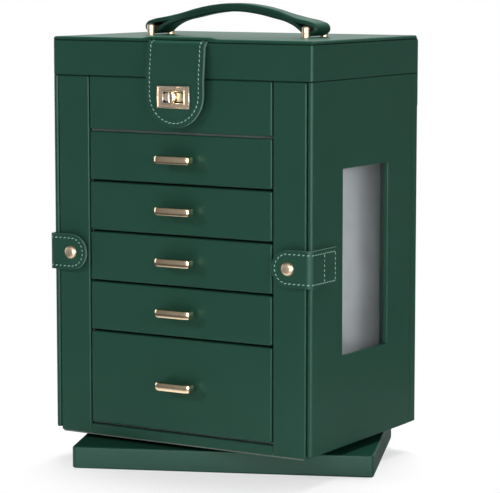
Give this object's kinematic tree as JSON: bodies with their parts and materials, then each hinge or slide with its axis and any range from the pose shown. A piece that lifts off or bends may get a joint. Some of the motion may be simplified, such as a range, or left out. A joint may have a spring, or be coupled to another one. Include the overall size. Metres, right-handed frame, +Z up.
{
  "type": "jewelry box with drawers",
  "caption": "Leather-covered jewelry box on a turntable, with a flap-locked lid and carrying handle, drawers with bar pulls, and windowed side doors held by snap tabs.",
  "frame": {"origin": "on the swivel axis at the underside of the base", "axes": "+Z up along the swivel axis; the drawers face -Y; +X to the right of someone facing the drawers"},
  "size_m": [0.3056, 0.257, 0.3996],
  "materials": {
    "green_leather": "fine grain, satin",
    "grey_velvet": "short pile",
    "gold_metal": "champagne gold, polished",
    "bearing_steel": "zinc plated",
    "clear_pane": "clear",
    "mirror_glass": "polished",
    "board": "dark paper covered board"
  },
  "bodies": {
    "base": {"base_plinth": "green_leather", "bearing_lower_race": "bearing_steel", "bearing_balls": "bearing_steel", "lower_race_screws": "bearing_steel"},
    "cabinet": {"bottom_plate": "green_leather", "bearing_upper_race": "bearing_steel", "upper_race_screws": "bearing_steel", "back_panel": "green_leather", "left_inner_wall": "grey_velvet", "right_inner_wall": "grey_velvet", "left_stile": "green_leather", "right_stile": "green_leather", "top_front_panel": "green_leather", "drawer_shelves": "board", "top_tray": "grey_velvet", "ring_cushions": "grey_velvet", "left_necklace_rail": "gold_metal", "right_necklace_rail": "gold_metal", "lock_boss": "gold_metal", "snap_studs": "gold_metal", "lid_hinge_strip_lower": "green_leather"},
    "lid": {"lid_frame": "green_leather", "lid_top": "green_leather", "lid_lining": "grey_velvet", "lid_mirror": "mirror_glass", "lid_hinge_strip_upper": "green_leather", "clasp_flap_root": "green_leather", "handle_strap": "green_leather", "handle_brackets": "gold_metal"},
    "flap": {"clasp_flap": "green_leather", "clasp_plate": "gold_metal"},
    "lock_tab": {"turn_knob": "gold_metal"},
    "drawer_1": {"drawer_1_front": "green_leather", "drawer_1_pull": "gold_metal", "drawer_1_tray": "grey_velvet", "drawer_1_dividers": "grey_velvet"},
    "drawer_2": {"drawer_2_front": "green_leather", "drawer_2_pull": "gold_metal", "drawer_2_tray": "grey_velvet", "drawer_2_dividers": "grey_velvet"},
    "drawer_3": {"drawer_3_front": "green_leather", "drawer_3_pull": "gold_metal", "drawer_3_tray": "grey_velvet", "drawer_3_dividers": "grey_velvet"},
    "drawer_4": {"drawer_4_front": "green_leather", "drawer_4_pull": "gold_metal", "drawer_4_tray": "grey_velvet"},
    "drawer_5": {"drawer_5_front": "green_leather", "drawer_5_pull": "gold_metal", "drawer_5_tray": "grey_velvet"},
    "right_door": {"right_door_panel": "green_leather", "right_window_pane": "clear_pane", "right_tab_root": "green_leather"},
    "right_tab": {"right_tab_strap": "green_leather", "right_snap_cap": "gold_metal"},
    "left_door": {"left_door_panel": "green_leather", "left_window_pane": "clear_pane", "left_tab_root": "green_leather"},
    "left_tab": {"left_tab_strap": "green_leather", "left_snap_cap": "gold_metal"}
  },
  "joints": [
    {"name": "base_swivel", "type": "hinge", "parent": "base", "child": "cabinet", "pos_m": [0, 0, 0.0212], "axis": [0, 0, 1], "continuous": true},
    {"name": "lid_hinge", "type": "hinge", "parent": "cabinet", "child": "lid", "pos_m": [0, 0.096, 0.3382], "axis": [-1, 0, 0], "range_deg": [0, 100]},
    {"name": "flap_hinge", "type": "hinge", "parent": "lid", "child": "flap", "pos_m": [0, -0.0935, 0.3676], "axis": [-1, 0, 0], "range_deg": [0, 110]},
    {"name": "lock_turn", "type": "hinge", "parent": "cabinet", "child": "lock_tab", "pos_m": [0, -0.1014, 0.3223], "axis": [0, 1, 0], "range_deg": [0, 90]},
    {"name": "drawer_1_slide", "type": "slide", "parent": "cabinet", "child": "drawer_1", "axis": [0, -1, 0], "range_m": [0, 0.13]},
    {"name": "drawer_2_slide", "type": "slide", "parent": "cabinet", "child": "drawer_2", "axis": [0, -1, 0], "range_m": [0, 0.13]},
    {"name": "drawer_3_slide", "type": "slide", "parent": "cabinet", "child": "drawer_3", "axis": [0, -1, 0], "range_m": [0, 0.13]},
    {"name": "drawer_4_slide", "type": "slide", "parent": "cabinet", "child": "drawer_4", "axis": [0, -1, 0], "range_m": [0, 0.13]},
    {"name": "drawer_5_slide", "type": "slide", "parent": "cabinet", "child": "drawer_5", "axis": [0, -1, 0], "range_m": [0, 0.13]},
    {"name": "right_door_hinge", "type": "hinge", "parent": "cabinet", "child": "right_door", "pos_m": [0.13, 0.0875, 0.182], "axis": [0, 0, 1], "range_deg": [0, 110]},
    {"name": "right_tab_fold", "type": "hinge", "parent": "right_door", "child": "right_tab", "pos_m": [0.1328, -0.0773, 0.1839], "axis": [0, 0, 1], "range_deg": [0, 90]},
    {"name": "left_door_hinge", "type": "hinge", "parent": "cabinet", "child": "left_door", "pos_m": [-0.13, 0.0875, 0.182], "axis": [0, 0, -1], "range_deg": [0, 110]},
    {"name": "left_tab_fold", "type": "hinge", "parent": "left_door", "child": "left_tab", "pos_m": [-0.1328, -0.0773, 0.1839], "axis": [0, 0, -1], "range_deg": [0, 90]}
  ]
}
